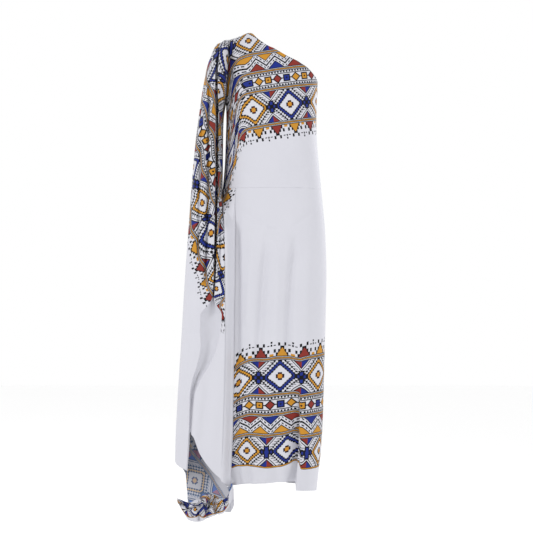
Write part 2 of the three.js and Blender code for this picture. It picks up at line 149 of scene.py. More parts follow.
# Folds pressed into the cloth, listed one by one, each with its name, depth inwards, half width and the line
# it runs along (x, z)
FRONT_SKIRT_FOLDS = (
    ("long soft fold", 10.0, 13, ((110, -620), (94, -775), (82, -960), (66, -1120))),
    ("left ridge", -4.5, 15, ((62, -600), (52, -775), (42, -960))),
    ("middle ridge", -6.5, 17, ((146, -600), (136, -775), (128, -985), (110, -1250), (100, -1440))),
    ("knee fold", 11.0, 13, ((200, -634), (184, -775), (176, -906), (172, -1060))),
    ("right ridge", -6.5, 20, ((238, -640), (232, -900), (230, -1150), (236, -1460))),
    ("hip dimple", 3.0, 12, ((128, -622), (131, -668))),
    ("drag from hip", 1.8, 10, ((10, -560), (70, -606), (130, -640))),
    ("drag to side", 1.6, 9, ((275, -560), (222, -600), (180, -632))),
    ("beside strip", 7.0, 8, ((12, -540), (14, -800), (12, -1100), (8, -1455))),
    ("hem flute 1", 7.0, 14, ((48, -1180), (42, -1330), (38, -1462))),
    ("hem flute 2", 5.0, 13, ((128, -1210), (134, -1340), (138, -1450))),
    ("low ridge", -4.0, 15, ((66, -1240), (64, -1350), (64, -1460))),
)
BACK_SKIRT_FOLDS = (
    ("seat fold", 13.0, 16, ((172, -640), (152, -800), (140, -1000), (134, -1200))),
    ("its ridge", -8.0, 20, ((120, -640), (104, -850), (96, -1100), (92, -1470))),
    ("left fold", 13.0, 15, ((60, -700), (44, -960), (36, -1200), (32, -1480))),
    ("right fold", 14.0, 15, ((222, -660), (208, -950), (198, -1200), (192, -1486))),
    ("right ridge", -6.0, 18, ((248, -700), (246, -1000), (242, -1300), (238, -1486))),
    ("side fold", 7.0, 12, ((4, -760), (-6, -1000), (-4, -1250), (2, -1478))),
    ("hip drag 1", 4.5, 10, ((262, -548), (206, -590), (150, -622), (110, -628))),
    ("hip drag 2", 4.0, 9, ((-22, -548), (20, -586), (70, -612))),
    ("hip drag 3", 3.6, 9, ((270, -600), (226, -640), (186, -664))),
    ("hem flute", 11.0, 13, ((150, -1240), (152, -1370), (152, -1482))),
)
FRONT_BODICE_FOLDS = (
    ("armhole drag 1", 2.4, 8, ((-12, -130), (14, -168), (44, -196))),
    ("armhole drag 2", 2.6, 9, ((-18, -190), (10, -240), (34, -300))),
    ("armhole drag 3", 2.2, 9, ((-22, -240), (0, -320), (14, -400))),
    ("shoulder pull", 1.8, 9, ((4, -16), (26, -70), (60, -110))),
    ("bust pull", 1.6, 14, ((70, -120), (130, -150), (210, -166))),
    ("side tuck", 1.8, 10, ((262, -250), (222, -286), (180, -300))),
    ("waist ease 1", 1.4, 10, ((250, -430), (200, -446), (140, -440))),
    ("waist ease 2", 1.2, 9, ((10, -440), (60, -462), (110, -470))),
)
BACK_BODICE_FOLDS = (
    ("armhole drag 1", 2.4, 8, ((-10, -120), (16, -165), (50, -200))),
    ("armhole drag 2", 2.4, 9, ((-20, -220), (10, -270), (40, -320))),
    ("shoulder blade", 2.6, 14, ((60, -130), (120, -180), (190, -200))),
    ("waist ease", 3.0, 11, ((40, -430), (110, -452), (190, -444))),
    ("side tuck", 1.6, 10, ((256, -300), (214, -340), (170, -360))),
)
DRAPE_FRONT_FOLDS = (
    ("second crease", 17.0, 4.2,
     ((-70, -70), (-80, -180), (-84, -320), (-84, -500), (-88, -700), (-96, -840))),
    ("third crease", 12.0, 4.5, ((-98, -220), (-108, -380), (-112, -560), (-116, -760))),
    ("inner crease", 13.0, 3.4,
     ((-38, -90), (-42, -200), (-46, -330), (-44, -480), (-43, -620), (-46, -790))),
    ("cap crease", 6.0, 6.0, ((-58, -44), (-66, -90), (-72, -150))),
    ("elbow pull 1", 4.0, 6.0, ((-128, -480), (-104, -520), (-74, -532))),
    ("elbow pull 2", 4.0, 6.0, ((-140, -640), (-112, -668), (-76, -664))),
    ("leaf ripple 1", 3.0, 17, ((-52, -1010), (-74, -1120), (-96, -1230), (-108, -1330))),
    ("leaf ripple 2", -3.0, 20, ((-30, -980), (-44, -1120), (-60, -1260), (-66, -1400))),
    ("left tail ripple", 2.5, 12, ((-150, -900), (-160, -1080), (-168, -1240), (-172, -1380))),
    ("left tail ridge", -2.5, 11, ((-134, -960), (-146, -1100), (-158, -1260))),
    ("strip ripple", 2.0, 9, ((-14, -640), (-12, -860), (-12, -1100), (-18, -1400))),
)
TURNED_END_FOLDS = (
    ("knot crease", 18.0, 5, ((-58, -1478), (-64, -1505), (-56, -1540), (-50, -1560))),
    ("beside it", 14.0, 5, ((-84, -1474), (-80, -1512), (-90, -1566))),
    ("long crease", 14.0, 5, ((-60, -1508), (-104, -1516), (-150, -1528))),
    ("top crease", 13.0, 5, ((-76, -1484), (-110, -1496), (-140, -1508), (-172, -1514))),
    ("short crease", 12.0, 4.5, ((-108, -1510), (-116, -1536), (-112, -1562))),
    ("upper ridge", -7.0, 6, ((-44, -1500), (-74, -1490), (-104, -1488))),
)


def lerp(a, b, t):
    return a + (b - a) * t


def smooth(t):
    s = np.clip(t, 0, 1)
    return s * s * (3 - 2 * s)


def read(rows, key, at, column):
    """A table's column at a key, along a smooth curve through its rows."""
    k, v = rows[key], rows[column]
    if k[0] > k[-1]:
        k, v = k[::-1], v[::-1]
    slope = np.diff(v) / np.diff(k)
    tangent = np.concatenate([slope[:1], np.zeros(len(k) - 2), slope[-1:]])
    a, b = slope[:-1], slope[1:]
    same = a * b > 0
    tangent[1:-1] = np.where(same, 2 * a * b / np.where(same, a + b, 1), 0)
    at = np.clip(np.asarray(at, float), k[0], k[-1])
    i = np.clip(np.searchsorted(k, at, side="right") - 1, 0, len(k) - 2)
    span = k[i + 1] - k[i]
    t = (at - k[i]) / span
    u = 1 - t
    ends = v[i] * u * u * (1 + 2 * t) + v[i + 1] * t * t * (3 - 2 * t)
    return ends + span * t * u * (tangent[i] * u - tangent[i + 1] * t)


def dome(drop):
    """A quarter circle's rise, from 0 to 1 over a drop of 1."""
    return np.sqrt(1 - (1 - np.clip(drop, 0, 1)) ** 2)


def rounded(value):
    return np.sign(value) * np.abs(value) ** (2 / BODY_CURVE)


def body_point(side, turn, z, out=0.0):
    """The body's surface, moved out by a distance."""
    left, right = read(BODY, "z", z, "left"), read(BODY, "z", z, "right")
    depth = read(BODY, "z", z, "front" if side == FRONT else "back")
    a = np.radians(turn)
    rise = dome((read(RIDGE, "turn", turn, "z") - z) / BODY_ROUNDS)
    return np.stack(np.broadcast_arrays(
        (left + right) / 2 + (right - left) / 2 * rounded(np.cos(a)) + out * np.cos(a),
        side * (depth * rounded(np.sin(a)) * rise + out * np.sin(a)),
        z,
    ), -1)


def pressed(x, z, folds):
    """How far the listed folds press the cloth in at (x, z)."""
    total = np.zeros(np.broadcast(x, z).shape)
    for _, depth, width, line in folds:
        line = np.array(line, float)
        lengths = np.linalg.norm(np.diff(line, axis=0), axis=1)
        whole, run = lengths.sum(), 0.0
        best = np.full(total.shape, 1e9)
        along = np.zeros(total.shape)
        for (x0, z0), (x1, z1), length in zip(line[:-1], line[1:], lengths):
            t = ((x - x0) * (x1 - x0) + (z - z0) * (z1 - z0)) / length**2
            t = np.clip(t, 0, 1)
            d = np.hypot(x - lerp(x0, x1, t), z - lerp(z0, z1, t))
            nearer = d < best
            best = np.where(nearer, d, best)
            along = np.where(nearer, (run + t * length) / whole, along)
            run += length
        runs_out = 0.9 if line[-1][1] < -1370 else 0.0
        taper = smooth(along / 0.22) * smooth((1 - along) / 0.12 + runs_out)
        total += depth * np.exp(-((best / width) ** 2)) * taper
    return total


def ripple(x, z, seed, size, high):
    """Slight uneven waves, longer up and down than across."""
    random = np.random.default_rng(seed)
    total = 0.0
    for _ in range(7):
        kx = random.uniform(0.6, 1.6) * 2 * math.pi / size
        kz = random.uniform(-0.35, 0.35) * 2 * math.pi / size
        total = total + np.sin(kx * x + kz * z + random.uniform(0, 6.28))
    return high * total / 2.6


def spread(count, near, length):
    """Places from 0 to 1 along a length, with one more that near each end for a crisp edge."""
    inner = np.linspace(0, 1, count)[1:-1]
    e = near / length
    return np.concatenate([[0, e], inner[(inner > 1.6 * e) & (inner < 1 - 1.6 * e)], [1 - e, 1]])


def bodice(side, columns, rows, folds):
    """Half of the bodice, and each point's turn."""
    share = spread(columns, 0.8, 470)[None, :]
    down = np.append(spread(rows, 0.8, 480), [1.01, 1.02])[:, None]
    up = 1 - np.minimum(down, 1) ** read(BODICE_TOP, "share", share, "crowd")
    top_turn = read(BODICE_TOP, "share", share, "turn")
    turn = lerp(180 * (1 - share), top_turn, up)
    on_ridge = (share > 0.2) & (share < 0.4)
    top = np.where(on_ridge, read(RIDGE, "turn", top_turn, "z"), read(BODICE_TOP, "share", share, "z"))
    z = lerp(WAIST + WAIST_SEAM / 2, top, up)
    flat = body_point(side, turn, z)
    ends = np.sin(np.radians(turn)) ** 0.5 * smooth((read(RIDGE, "turn", turn, "z") - z) / 40)
    uneven = ripple(flat[..., 0], z, 3 + side, 90, 0.5)
    out = ends * (uneven - pressed(flat[..., 0], z, folds))
    tucked, last = down > 1, down > 1.015  # the last two rows go in behind the top of the skirt
    z = np.where(tucked, WAIST + np.where(last, -1.4, 0.06), z)
    point = body_point(side, turn, z, np.where(tucked, np.where(last, -2.0, -1.4), out))
    seam = (share <= 0) | (share >= 1) | (on_ridge & (down <= 0))
    seam = np.broadcast_to(seam, z.shape)
    point[..., 1] = np.where(seam, 0, point[..., 1]) + side * GAP / 2
    return point, turn


def skirt(side, columns, rows, folds):
    """Half of the skirt, and each point's turn."""
    share = spread(columns, 0.8, 500)[None, :]
    turn = 180 * (1 - share)
    down = spread(rows, 0.8, 970)[:, None]
    hem = read(SKIRT_HEM, "turn", turn, "front" if side == FRONT else "back")
    z = lerp(WAIST - WAIST_SEAM / 2, hem, down)
    turn = np.broadcast_to(turn, z.shape)
    flat = body_point(side, turn, z)
    free = np.sin(np.radians(turn)) ** 1.2 * smooth((WAIST - z) / 60)
    out = -pressed(flat[..., 0], z, folds)
    out = out + ripple(flat[..., 0], z, 11 + side, 120, 0.9) * smooth((WAIST - z) / 200)
    leans = smooth((turn - LAP_EDGE) / 5) if side == FRONT else 1
    out = out - HEM_LEAN * np.clip(HEM_BAND_TOP - z, 0, None) * leans
    point = body_point(side, turn, z, out * free)
    if side == FRONT:  # the hem on the wearer's left laps forward over the rest, with a crisp edge
        deep = smooth((LAP_TOP - z) / 300)
        behind = LAP_BACK * np.exp(-(np.clip(turn - LAP_INNER, 0, None) / 9.0) ** 2) * (turn >= LAP_INNER)
        ahead = -LAP_AHEAD * np.exp(-(np.clip(LAP_INNER - turn, 0, None) / 12.0) ** 2) * (turn < LAP_INNER)
        between = smooth((turn - LAP_EDGE) / (LAP_INNER - LAP_EDGE))
        shift = np.where(turn >= LAP_INNER, behind, lerp(ahead, LAP_BACK, between))
        point[..., 1] += deep * np.where(turn < LAP_EDGE, ahead, shift)
        for far, at, width in LAP_SIDEWAYS:
            point[..., 0] += deep * far * np.exp(-(((turn - at) / width) ** 2))
    seam = np.broadcast_to((share <= 0) | (share >= 1), z.shape)
    point[..., 1] = np.where(seam, 0, point[..., 1]) + side * GAP / 2
    return point, turn


ARMHOLE = {k: v[:5] for k, v in BODICE_TOP.items()}
ARMHOLE_CLEAR = 2.0
INNER_TOP = -4.0  # the height of the drape's inner edge on the shoulder


def inner_edge(side, z):
    """The drape's inner edge, which is sewn round the armhole above the underarm."""
    on_body = body_point(side, read(ARMHOLE, "z", z, "turn"), z)
    t = FRONT_INNER if side == FRONT else BACK_INNER
    above = z > UNDERARM
    x = np.where(above, on_body[..., 0] - ARMHOLE_CLEAR, read(t, "z", z, "x"))
    y = np.where(above, on_body[..., 1], read(t, "z", z, "y"))
    return x, y


def drape_point(side, across, z, level):
    """The drape's surface; level is how far down from the shoulder a point is, where the drape domes over."""
    ix, iy = inner_edge(side, z)
    outer = read(OUTER, "z", z, "x")
    if side == FRONT:
        mid, half = read(CREASE, "z", z, "x"), read(CREASE, "z", z, "half")
        first, last = np.clip(across / LIP, 0, 1), np.clip((across - 1 + LIP) / LIP, 0, 1)
        x = mid + half * (across - 0.5) / (0.5 - LIP)
        x = np.where(across < LIP, lerp(outer, mid - half, 1 - np.cos(np.pi / 2 * first)), x)
        x = np.where(across > 1 - LIP, lerp(mid + half, ix, np.sin(np.pi / 2 * last)), x)
    else:
        outer = np.where(z < OUTER["z"][-1], read(TAIL_EDGE, "z", z, "x"), outer)
        x = lerp(outer, ix, (1 - np.cos(np.pi * across)) / 2)
    share = np.clip((x - outer) / (ix - outer), 0, 1)
    standing = (1 - np.abs(2 * share - 1) ** DRAPE_CURVE) ** (1 / DRAPE_CURVE)
    if side == FRONT:
        shut = np.where(z > UNDERARM, 1, read(FRONT_INNER, "z", z, "shut"))
        standing = np.where(share > 0.5, lerp(1, standing, shut), standing)
    else:
        standing = lerp(standing, np.sin(np.pi * share), smooth((-1380 - z) / 60))
    full = read(FULLNESS, "z", z, "ahead" if side == FRONT else "behind") * dome(level / DRAPE_ROUNDS)
    y = lerp(read(OUTER, "z", z, "y"), iy, share) + side * full * standing
    ends = np.sin(np.pi * np.clip(share, 0, 1)) ** 0.5 * dome(level / DRAPE_ROUNDS)
    if side == FRONT:
        off = np.minimum(1, np.abs(across - 0.5) / (0.5 - LIP))
        y = y + read(CREASE, "z", z, "depth") * (1 - off**2.5) * dome(level / CREASE_DEEPENS)
        y = y + (pressed(x, z, DRAPE_FRONT_FOLDS) + ripple(x, z, 21, 60, 0.8)) * ends
    else:
        for s, w, top, depth in zip(*(DRAPE_BACK_FOLDS[k] for k in ("share", "width", "top", "depth"))):
            runs = smooth((top - z) / 400) * (1 - smooth((-1300 - z) / 120))
            y = y - depth * np.exp(-(((share - s) / w) ** 2)) * runs
        y = y + ripple(x, z, 22, 70, 0.9) * ends
    return np.stack(np.broadcast_arrays(x, y, z), -1)


def rows_below_waist(count):
    return spread(count, 1.5, 900)[1:, None]


def drape_rows(side, across, upper, lower, bottom):
    """Rows from the shoulder to the waist, then on down to the bottom edge."""
    share = (1 - np.cos(np.pi * across)) / 2
    a = np.linspace(0, 1, upper)[:, None]
    level = -WAIST * a**2
    z = lerp(lerp(OUTER["z"][0], INNER_TOP, share), WAIST, level / -WAIST)
    z_low = lerp(WAIST, bottom, rows_below_waist(lower))
    z = np.concatenate([z, z_low])
    level = np.broadcast_to(level, (upper, across.shape[1]))
    level = np.concatenate([level, np.full(z_low.shape, -WAIST)])
    across = np.broadcast_to(across, z.shape)
    point = drape_point(side, across, z, level)
    inner_x = float(inner_edge(side, np.array(INNER_TOP))[0])
    point[0, :, 0] = lerp(OUTER["x"][0], inner_x, share[0])
    point[0, :, 1] = 0
    point[..., 1] += side * GAP
    return point


def front_depth(x, z, clear):
    """The y of a place that lies on the body's front with a clearance."""
    left, right = read(BODY, "z", z, "left"), read(BODY, "z", z, "right")
    across = np.clip(np.abs((x - (left + right) / 2) / ((right - left) / 2)), 0, 1)
    return -read(BODY, "z", z, "front") * (1 - across**BODY_CURVE) ** (1 / BODY_CURVE) - clear


LIP_COLUMNS, CREASE_COLUMNS, INNER_COLUMNS, STRIP_COLUMNS = 58, 27, 40, 22


def drape_front(upper, lower):
    """The front of the drape with the strip. Across is 0 to 1 on the drape, and 1 to 2 on the strip."""
    lip = np.linspace(0, LIP, LIP_COLUMNS)[:-1]
    crease = np.linspace(LIP, 1 - LIP, CREASE_COLUMNS)[:-1]
    across = np.concatenate([lip, crease, np.linspace(1 - LIP, 1, INNER_COLUMNS)])[None, :]
    point = drape_rows(FRONT, across, upper, lower, read(FRONT_BOTTOM, "share", across, "z"))
    main = point[:, -1]
    b = spread(STRIP_COLUMNS, 1.2, 40)[None, 1:]
    rows = len(point)
    low = np.concatenate([np.zeros((upper, 1)), rows_below_waist(lower)])
    z = lerp(WAIST, lerp(main[:, 2:], STRIP_BOTTOM, b), low)
    edge_x = read(STRIP_EDGE, "z", z, "x")
    sewn = body_point(FRONT, lerp(*STRIP_SEWN, b), z, 1.6)
    free = smooth((WAIST - z) / 130)
    x = lerp(sewn[..., 0], lerp(main[:, :1], edge_x, b), free)
    lying = front_depth(edge_x, z, STRIP_CLEAR) + 4.0 * smooth((b - 0.8) / 0.2) ** 2
    y = lerp(sewn[..., 1], lerp(main[:, 1:2], lying, smooth(b / 0.8)), free)
    y = y + (pressed(x, z, DRAPE_FRONT_FOLDS[-1:]) - 7 * np.sin(np.pi * b)) * free
    strip = np.stack([x, y, z], -1)
    strip[: upper - 1] = np.nan
    across = np.concatenate([across, 1 + b], 1)
    return np.concatenate([point, strip], 1), np.broadcast_to(across, (rows, across.shape[1]))


BACK_COLUMNS, TURNED_COLUMNS, TAIL_ROWS = 90, 110, 34


def drape_back(upper, lower):
    """The back of the drape, its tail and, beside them, the turned end, with its first row and column."""
    across = spread(BACK_COLUMNS, 1.2, 200)[None, :]
    point = drape_rows(BACK, across, upper, lower, np.full(across.shape, TAIL_TURN))
    down = np.linspace(0, 1, TAIL_ROWS)[1:, None]
    z = lerp(TAIL_TURN, TAIL_HEM, down) + np.zeros(across.shape)
    tail = drape_point(BACK, np.broadcast_to(across, z.shape), z, np.full(z.shape, 500.0))
    tail[..., 1] += GAP
    point = np.concatenate([point, tail])
    rows, first = len(point), len(point) - len(down) - 1
    share = spread(TURNED_COLUMNS, 1.5, 330)[None, 1:]
    down = np.linspace(0, 1, TAIL_ROWS)[:, None]
    start = point[first:, -1]
    near = 1 - smooth(share / 0.2)
    x = read(TURNED_END, "share", share, "x") + near * (start[:, :1] - TURNED_END["x"][0])
    y = read(TURNED_END, "share", share, "y") + near * (start[:, 1:2] - TURNED_END["y"][0])
    z = lerp(read(TURNED_END, "share", share, "top"), read(TURNED_END, "share", share, "hem"), down)
    rumpled = ripple(x, z, 31, 55, 2.2) + 3 * np.sin(x / 13) * down + pressed(x, z, TURNED_END_FOLDS)
    y = y + rumpled * smooth((share - 0.25) / 0.2)
    end = np.full((rows, share.shape[1], 3), np.nan)
    end[first:] = np.stack([x, y, z], -1)
    return np.concatenate([point, end], 1), first, point.shape[1]


# Where each point of the cloth lies on the printed length, in metres: u is along the bands, and d is
# down from the foot of the fringe

PITCH = 0.122  # of the lozenges
PRINTED = 0.341  # from the foot of the fringe to the line that ends the print
PLAIN = -0.2  # a d that is clear of the print
DEGREES = np.arange(181)
ROUND_BODY = body_point(FRONT, DEGREES.astype(float), np.full(181, -400.0))[:, :2]
ARC = np.concatenate([[0], np.cumsum(np.linalg.norm(np.diff(ROUND_BODY, axis=0), axis=1))])


def arc_of(turn):
    """Metres round the body from its centre, to the wearer's left."""
    return (ARC[90] - np.interp(turn, DEGREES, ARC)) / 1000


# By the armhole the bodice's bands bend down the side: how steeply, and how far, from x = -90 to x = 70
BEND_X = np.linspace(-0.09, 0.07, 641)
BEND = np.radians(76) * smooth((0.053 - BEND_X) / 0.045)


def run_left(rate):
    """A rate summed along BEND_X, from its right end to the left."""
    return np.cumsum(rate[::-1])[::-1] * (BEND_X[1] - BEND_X[0])


BEND_FALL, BEND_SHORT = run_left(np.tan(BEND)), run_left(1 - np.cos(BEND))
BODICE_FOOT = 0.300  # the foot of the fringe, down from the shoulder
BENT_BY = 0.36  # the bands bend fully this far down
FRONT_TILT, BACK_TILT = math.radians(9), math.radians(5)


def bodice_print(side, turn, point):
    s, h, x = arc_of(turn), -point[..., 2] / 1000, point[..., 0] / 1000
    tilt = FRONT_TILT if side == FRONT else BACK_TILT
    bent = np.clip(h / BENT_BY, 0, 1) ** 1.2
    v = h * math.cos(tilt) + s * math.sin(tilt) - bent * np.interp(x, BEND_X, BEND_FALL)
    short, steep = np.interp(x, BEND_X, BEND_SHORT), np.sin(np.interp(x, BEND_X, BEND))
    u = s * math.cos(tilt) - h * math.sin(tilt) + bent * (short - 0.4 * (h - BODICE_FOOT) * steep)
    return u, BODICE_FOOT - v


# Where the front skirt's print starts, at the foot of the fringe, and ends; it sags with the folds
FRONT_BAND = table(
    "x top bottom",
    (-60, -1110, -1425), (-10, -1090, -1402), (8, -1070, -1394), (37, -1050, -1390), (55, -1044, -1389),
    (100, -1042, -1394), (138, -1036, -1392), (176, -1036, -1382), (196, -1040, -1374),
    (208, -1042, -1378), (213, -1042, -1398), (226, -1038, -1401), (290, -1030, -1402),
)
BACK_BAND_TOP = -1040.0
BACK_BAND_SCALE = 1040.0  # mm of the back skirt to a metre of the print


def skirt_print(side, turn, point):
    z = point[..., 2]
    if side == FRONT:
        top, bottom = (read(FRONT_BAND, "x", point[..., 0], n) for n in ("top", "bottom"))
        return arc_of(turn), PRINTED * (top - z) / (top - bottom)
    sag = 6 * np.sin(np.radians(turn) * 5)
    return arc_of(turn) + 0.01, (BACK_BAND_TOP + sag - z) / BACK_BAND_SCALE


def arc_across(point, column):
    """Signed distance along each row from a column, metres."""
    step = np.linalg.norm(np.diff(point, axis=1), axis=2)
    run = np.concatenate([np.zeros((len(point), 1)), np.cumsum(np.nan_to_num(step), 1)], 1)
    return (run - run[:, column:column + 1]) / 1000


DRAPE_SLANT = math.radians(68.7)
OUTER_START, INNER_START = 0.034, 0.072  # where the print starts on each side of the main crease
OUTER_SHIFT = 0.05 + PITCH  # how much farther along it starts on the outer side
LARGEST_D, LARGEST_AT = 0.337, -0.037  # d rises to its largest at this v, and falls again past it


def drape_print(arc, straight, z):
    """Bands slant down and outwards both ways from the main crease, which the folds break up."""
    h, outer, slant = -z / 1000, arc < 0, DRAPE_SLANT
    s = lerp(np.abs(straight) * 1.12, np.abs(arc), 0.35)
    v = s * math.sin(slant) + h * math.cos(slant) - np.where(outer, OUTER_START, INNER_START)
    v = v + 0.008 * np.sin(h * 21 + s * 30) + 0.005 * np.sin(h * 47 - s * 50)
    along = h * math.sin(slant) - np.abs(arc) * math.cos(slant) + 0.008 * np.sin(h * 30 + 1)
    return along + np.where(outer, OUTER_SHIFT, 0), LARGEST_D - np.abs(v - LARGEST_AT)


LEAF_PLAIN, HOLLOW_PLAIN = -965.0, -850.0  # the drape's open panel is plain below here, and its hollow
# The bodice's print runs on over the top of the strip: how far down, from which x at the waist, how fast it
# narrows, and how much it is stretched
STRIP_PRINTED, STRIP_PRINT_X, STRIP_PRINT_NARROWS, STRIP_STRETCH = 92.0, -14, 0.5, 1.6


def drape_front_print(point, across):
    x, z = point[..., 0], point[..., 2]
    middle = LIP_COLUMNS - 1 + CREASE_COLUMNS // 2
    u, d = drape_print(arc_across(point, middle), (x - read(CREASE, "z", z, "x")) / 1000, z)
    in_hollow = (np.abs(across - 0.5) < 0.5 - LIP) & (z < HOLLOW_PLAIN)
    d = np.where(in_hollow | (z < LEAF_PLAIN), PLAIN, d)
    below_waist = WAIST - z
    narrowing = STRIP_STRETCH * (STRIP_PRINT_X - STRIP_PRINT_NARROWS * below_waist - x) / 1000
    on_strip = across > 1
    u = np.where(on_strip, below_waist / 1000, u)
    return u, np.where(on_strip, np.where(below_waist < STRIP_PRINTED, narrowing, PLAIN), d)


TAIL_PRINTED, TAIL_PLAIN = -1150.0, -1390.0
INNER_PLAIN, INNER_X = -1505.0, -44.0  # the inner corner at the tail's foot is plain
TAIL_FOOT_X, TAIL_FOOT_Z = -138.0, -1290.0
TAIL_COS, TAIL_SIN = 0.879, 0.476  # of how steeply its bands slant
TURNED_FOOT = 0.352  # the print's d at the hem of the turned end
TURNED_STRETCH = 1.7
PLAIN_SHARE, PLAIN_HEM = 0.34, 0.07  # the share of the turned end with a deeper plain hem, and how deep
PLAIN_X, PLAIN_WIDTH, PLAIN_MORE = -122.0, 24, 0.02  # where else it is deeper, and by how much
TAKEN_UP = 0.012  # how far the creases take up the print


def drape_back_print(point, first, columns):
    """Bands as on the drape's front, then slanting the other way on the tail, and along its turned end."""
    z = point[..., 2]
    reach = arc_across(point, 0)
    begins = (read(CREASE, "z", z, "x") - read(OUTER, "z", z, "x")) / 1000
    u, d = drape_print(-reach - begins * 1.3, -reach - begins, z)
    on_tail = z < OUTER["z"][-1]
    x = np.where(on_tail, read(TAIL_EDGE, "z", z, "x"), read(OUTER, "z", z, "x")) + 1000 * reach
    right, down = (x - TAIL_FOOT_X) / 1000, (TAIL_FOOT_Z - z) / 1000
    printed = z < TAIL_PRINTED
    u = np.where(printed, right * TAIL_SIN + down * TAIL_COS, u)
    d = np.where(printed, down * TAIL_SIN - right * TAIL_COS, d)
    d = np.where((z < TAIL_PLAIN) & (d < 0) | (z < INNER_PLAIN) & (x > INNER_X), PLAIN, d)
    turned = slice(first, None), slice(columns, None)
    share = np.linspace(0, 1, point.shape[1] - columns)[None, :]
    up = z[turned] - read(TURNED_END, "share", share, "hem")
    beside = (point[turned][..., 0] - PLAIN_X) / PLAIN_WIDTH
    plain_hem = PLAIN_HEM * (share < PLAIN_SHARE) + PLAIN_MORE * np.exp(-(beside**2))
    taken_up = TAKEN_UP * np.sin(x[turned] / 9 + up / 14)
    d[turned] = TURNED_FOOT + plain_hem - TURNED_STRETCH * up / 1000 + taken_up * up / 40
    u[turned] = 1.3 * reach[turned] + 0.03 + taken_up
    return u, d


# The print as a node group of (u, d): bands of stepped lozenges, checks and zigzags


def operator(kind, swapped=False):
    def combine(self, other):
        return maths(kind, other, self) if swapped else maths(kind, self, other)
    return combine


class Field:
    """A number over the surface, made of Math nodes."""

    tree = None
    __add__, __radd__ = operator("ADD"), operator("ADD", swapped=True)
    __sub__, __rsub__ = operator("SUBTRACT"), operator("SUBTRACT", swapped=True)
    __mul__, __rmul__ = operator("MULTIPLY"), operator("MULTIPLY", swapped=True)
    __truediv__ = operator("DIVIDE")
    __lt__, __gt__ = operator("LESS_THAN"), operator("GREATER_THAN")
    __and__, __or__ = operator("MULTIPLY"), operator("MAXIMUM")

    def __init__(self, socket):
        self.socket = socket


def maths(kind, *values):
    node = Field.tree.nodes.new("ShaderNodeMath")
    node.operation = kind
    for socket, value in zip(node.inputs, values):
        if isinstance(value, Field):
            Field.tree.links.new(value.socket, socket)
        else:
            socket.default_value = value
    return Field(node.outputs[0])


def size_of(a):
    return maths("ABSOLUTE", a)


def part(a):
    return maths("FRACT", a)


def whole(a):
    return maths("FLOOR", a)


def odd(a):
    return maths("PINGPONG", whole(a), 1.0) > 0.5


def no(mask):
    return mask < 0.5


def larger(a, b):
    return maths("MAXIMUM", a, b)


def within(a, low, high):
    return (a > low) & (a < high)


def numbered(a, first, last):
    """Where a whole number is one of these."""
    return within(a, first - 0.5, last + 0.5)


def both_under(a, b, limit_a, limit_b):
    return (a < limit_a) & (b < limit_b)


def centred(a, pitch):
    return (part(a / pitch) - 0.5) * pitch


def stepped(x, h, step):
    """The number of a stepped lozenge's ring, a line along each ring's outer edge, and every other cell."""
    i, j = x / step, h / step
    ring = whole(i) + whole(j)
    rim = larger(part(i), part(j)) > 1 - 0.0039 / step
    return ring, rim, odd(i)


def lozenges(u, y, half):
    """Stepped lozenges in a row, with crosses between; y is from the row's middle."""
    x, h = size_of(centred(u, PITCH)), size_of(y)
    ring, rim, cell = stepped(x, h, half / 8.0)
    other = odd(u / PITCH)
    far, low = PITCH / 2 - x, half - h
    corner = far + low
    line = rim & (numbered(ring, 1, 1) | numbered(ring, 5, 5) | numbered(ring, 7, 7))
    outside = ring > 9.5
    cross = both_under(far, h, 0.0040, 0.0160) | both_under(far, h, 0.0160, 0.0040)
    cross_line = (both_under(far, h, 0.0080, 0.0200) | both_under(far, h, 0.0200, 0.0080)) & no(cross)
    fill = numbered(ring, 6, 7) & no(line)
    corner_lines = within(corner, 0.0185, 0.0226) | within(corner, 0.0270, 0.0304) & outside
    return {
        "grey": (corner > 0.0370) & outside & (part(y / 0.0072) > 0.60),
        "black": line | numbered(ring, 9, 9) & (cell | rim) | cross_line | corner_lines,
        "blue": fill & no(other) | (corner < 0.0185) & other | cross,
        "ochre": fill & other | (ring < 0.5),
        "red": numbered(ring, 1, 1) & no(line) | (corner < 0.0185) & no(other),
    }


def checks(u, y):
    """Squares by turns flat and on their points, between lines and beads."""
    cell = PITCH / 4
    x, h = size_of(centred(u, cell)), size_of(y)
    point, square = x + h, larger(x, h)
    other, third = odd(u / cell), odd(u / (2 * cell))
    flat, not_third = no(other), no(third)
    outlines = within(square, 0.0078, 0.0116) & flat | within(point, 0.0110, 0.0158) & other
    beads = (h > 0.0180) & (part(u / 0.0095) > 0.45)
    lines = within(h, 0.0140, 0.0168) | (h < 0.0018) & (x > 0.0108)
    return {
        "black": outlines | (point < 0.0036) & flat | lines | beads,
        "blue": (square < 0.0078) & flat & not_third,
        "ochre": (square < 0.0078) & flat & third | (point < 0.0110) & other & not_third,
        "red": (point < 0.0110) & other & third,
    }


def zigzag(u, y, half):
    """A zigzag with beads along it, and triangles filling it above and below."""
    run = PITCH / 2
    turn = size_of(part(u / run) - 0.5) * 2
    away = y - (turn - 0.5) * (1.1 * half)
    gap = size_of(away)
    upper, lower = away > 0.0, away < 0.0
    third = odd(u / run + 0.5)
    beads = within(gap, 0.0074, 0.0118) & (part(u / 0.0100) > 0.45)
    return {
        "black": (gap < 0.0030) | beads | within(gap, 0.0150, 0.0182),
        "blue": lower & (gap > 0.0182) & third,
        "ochre": upper & (gap > 0.0182),
        "red": lower & (gap > 0.0182) & no(third),
    }


def stripes(y):
    """Lines along the band; y is from the stripe's middle."""
    h = size_of(y)
    return {
        "black": (h > 0.0052) | within(h, 0.0012, 0.0032),
        "grey": within(h, 0.0042, 0.0052),
        "ochre": h < 0.0012,
    }


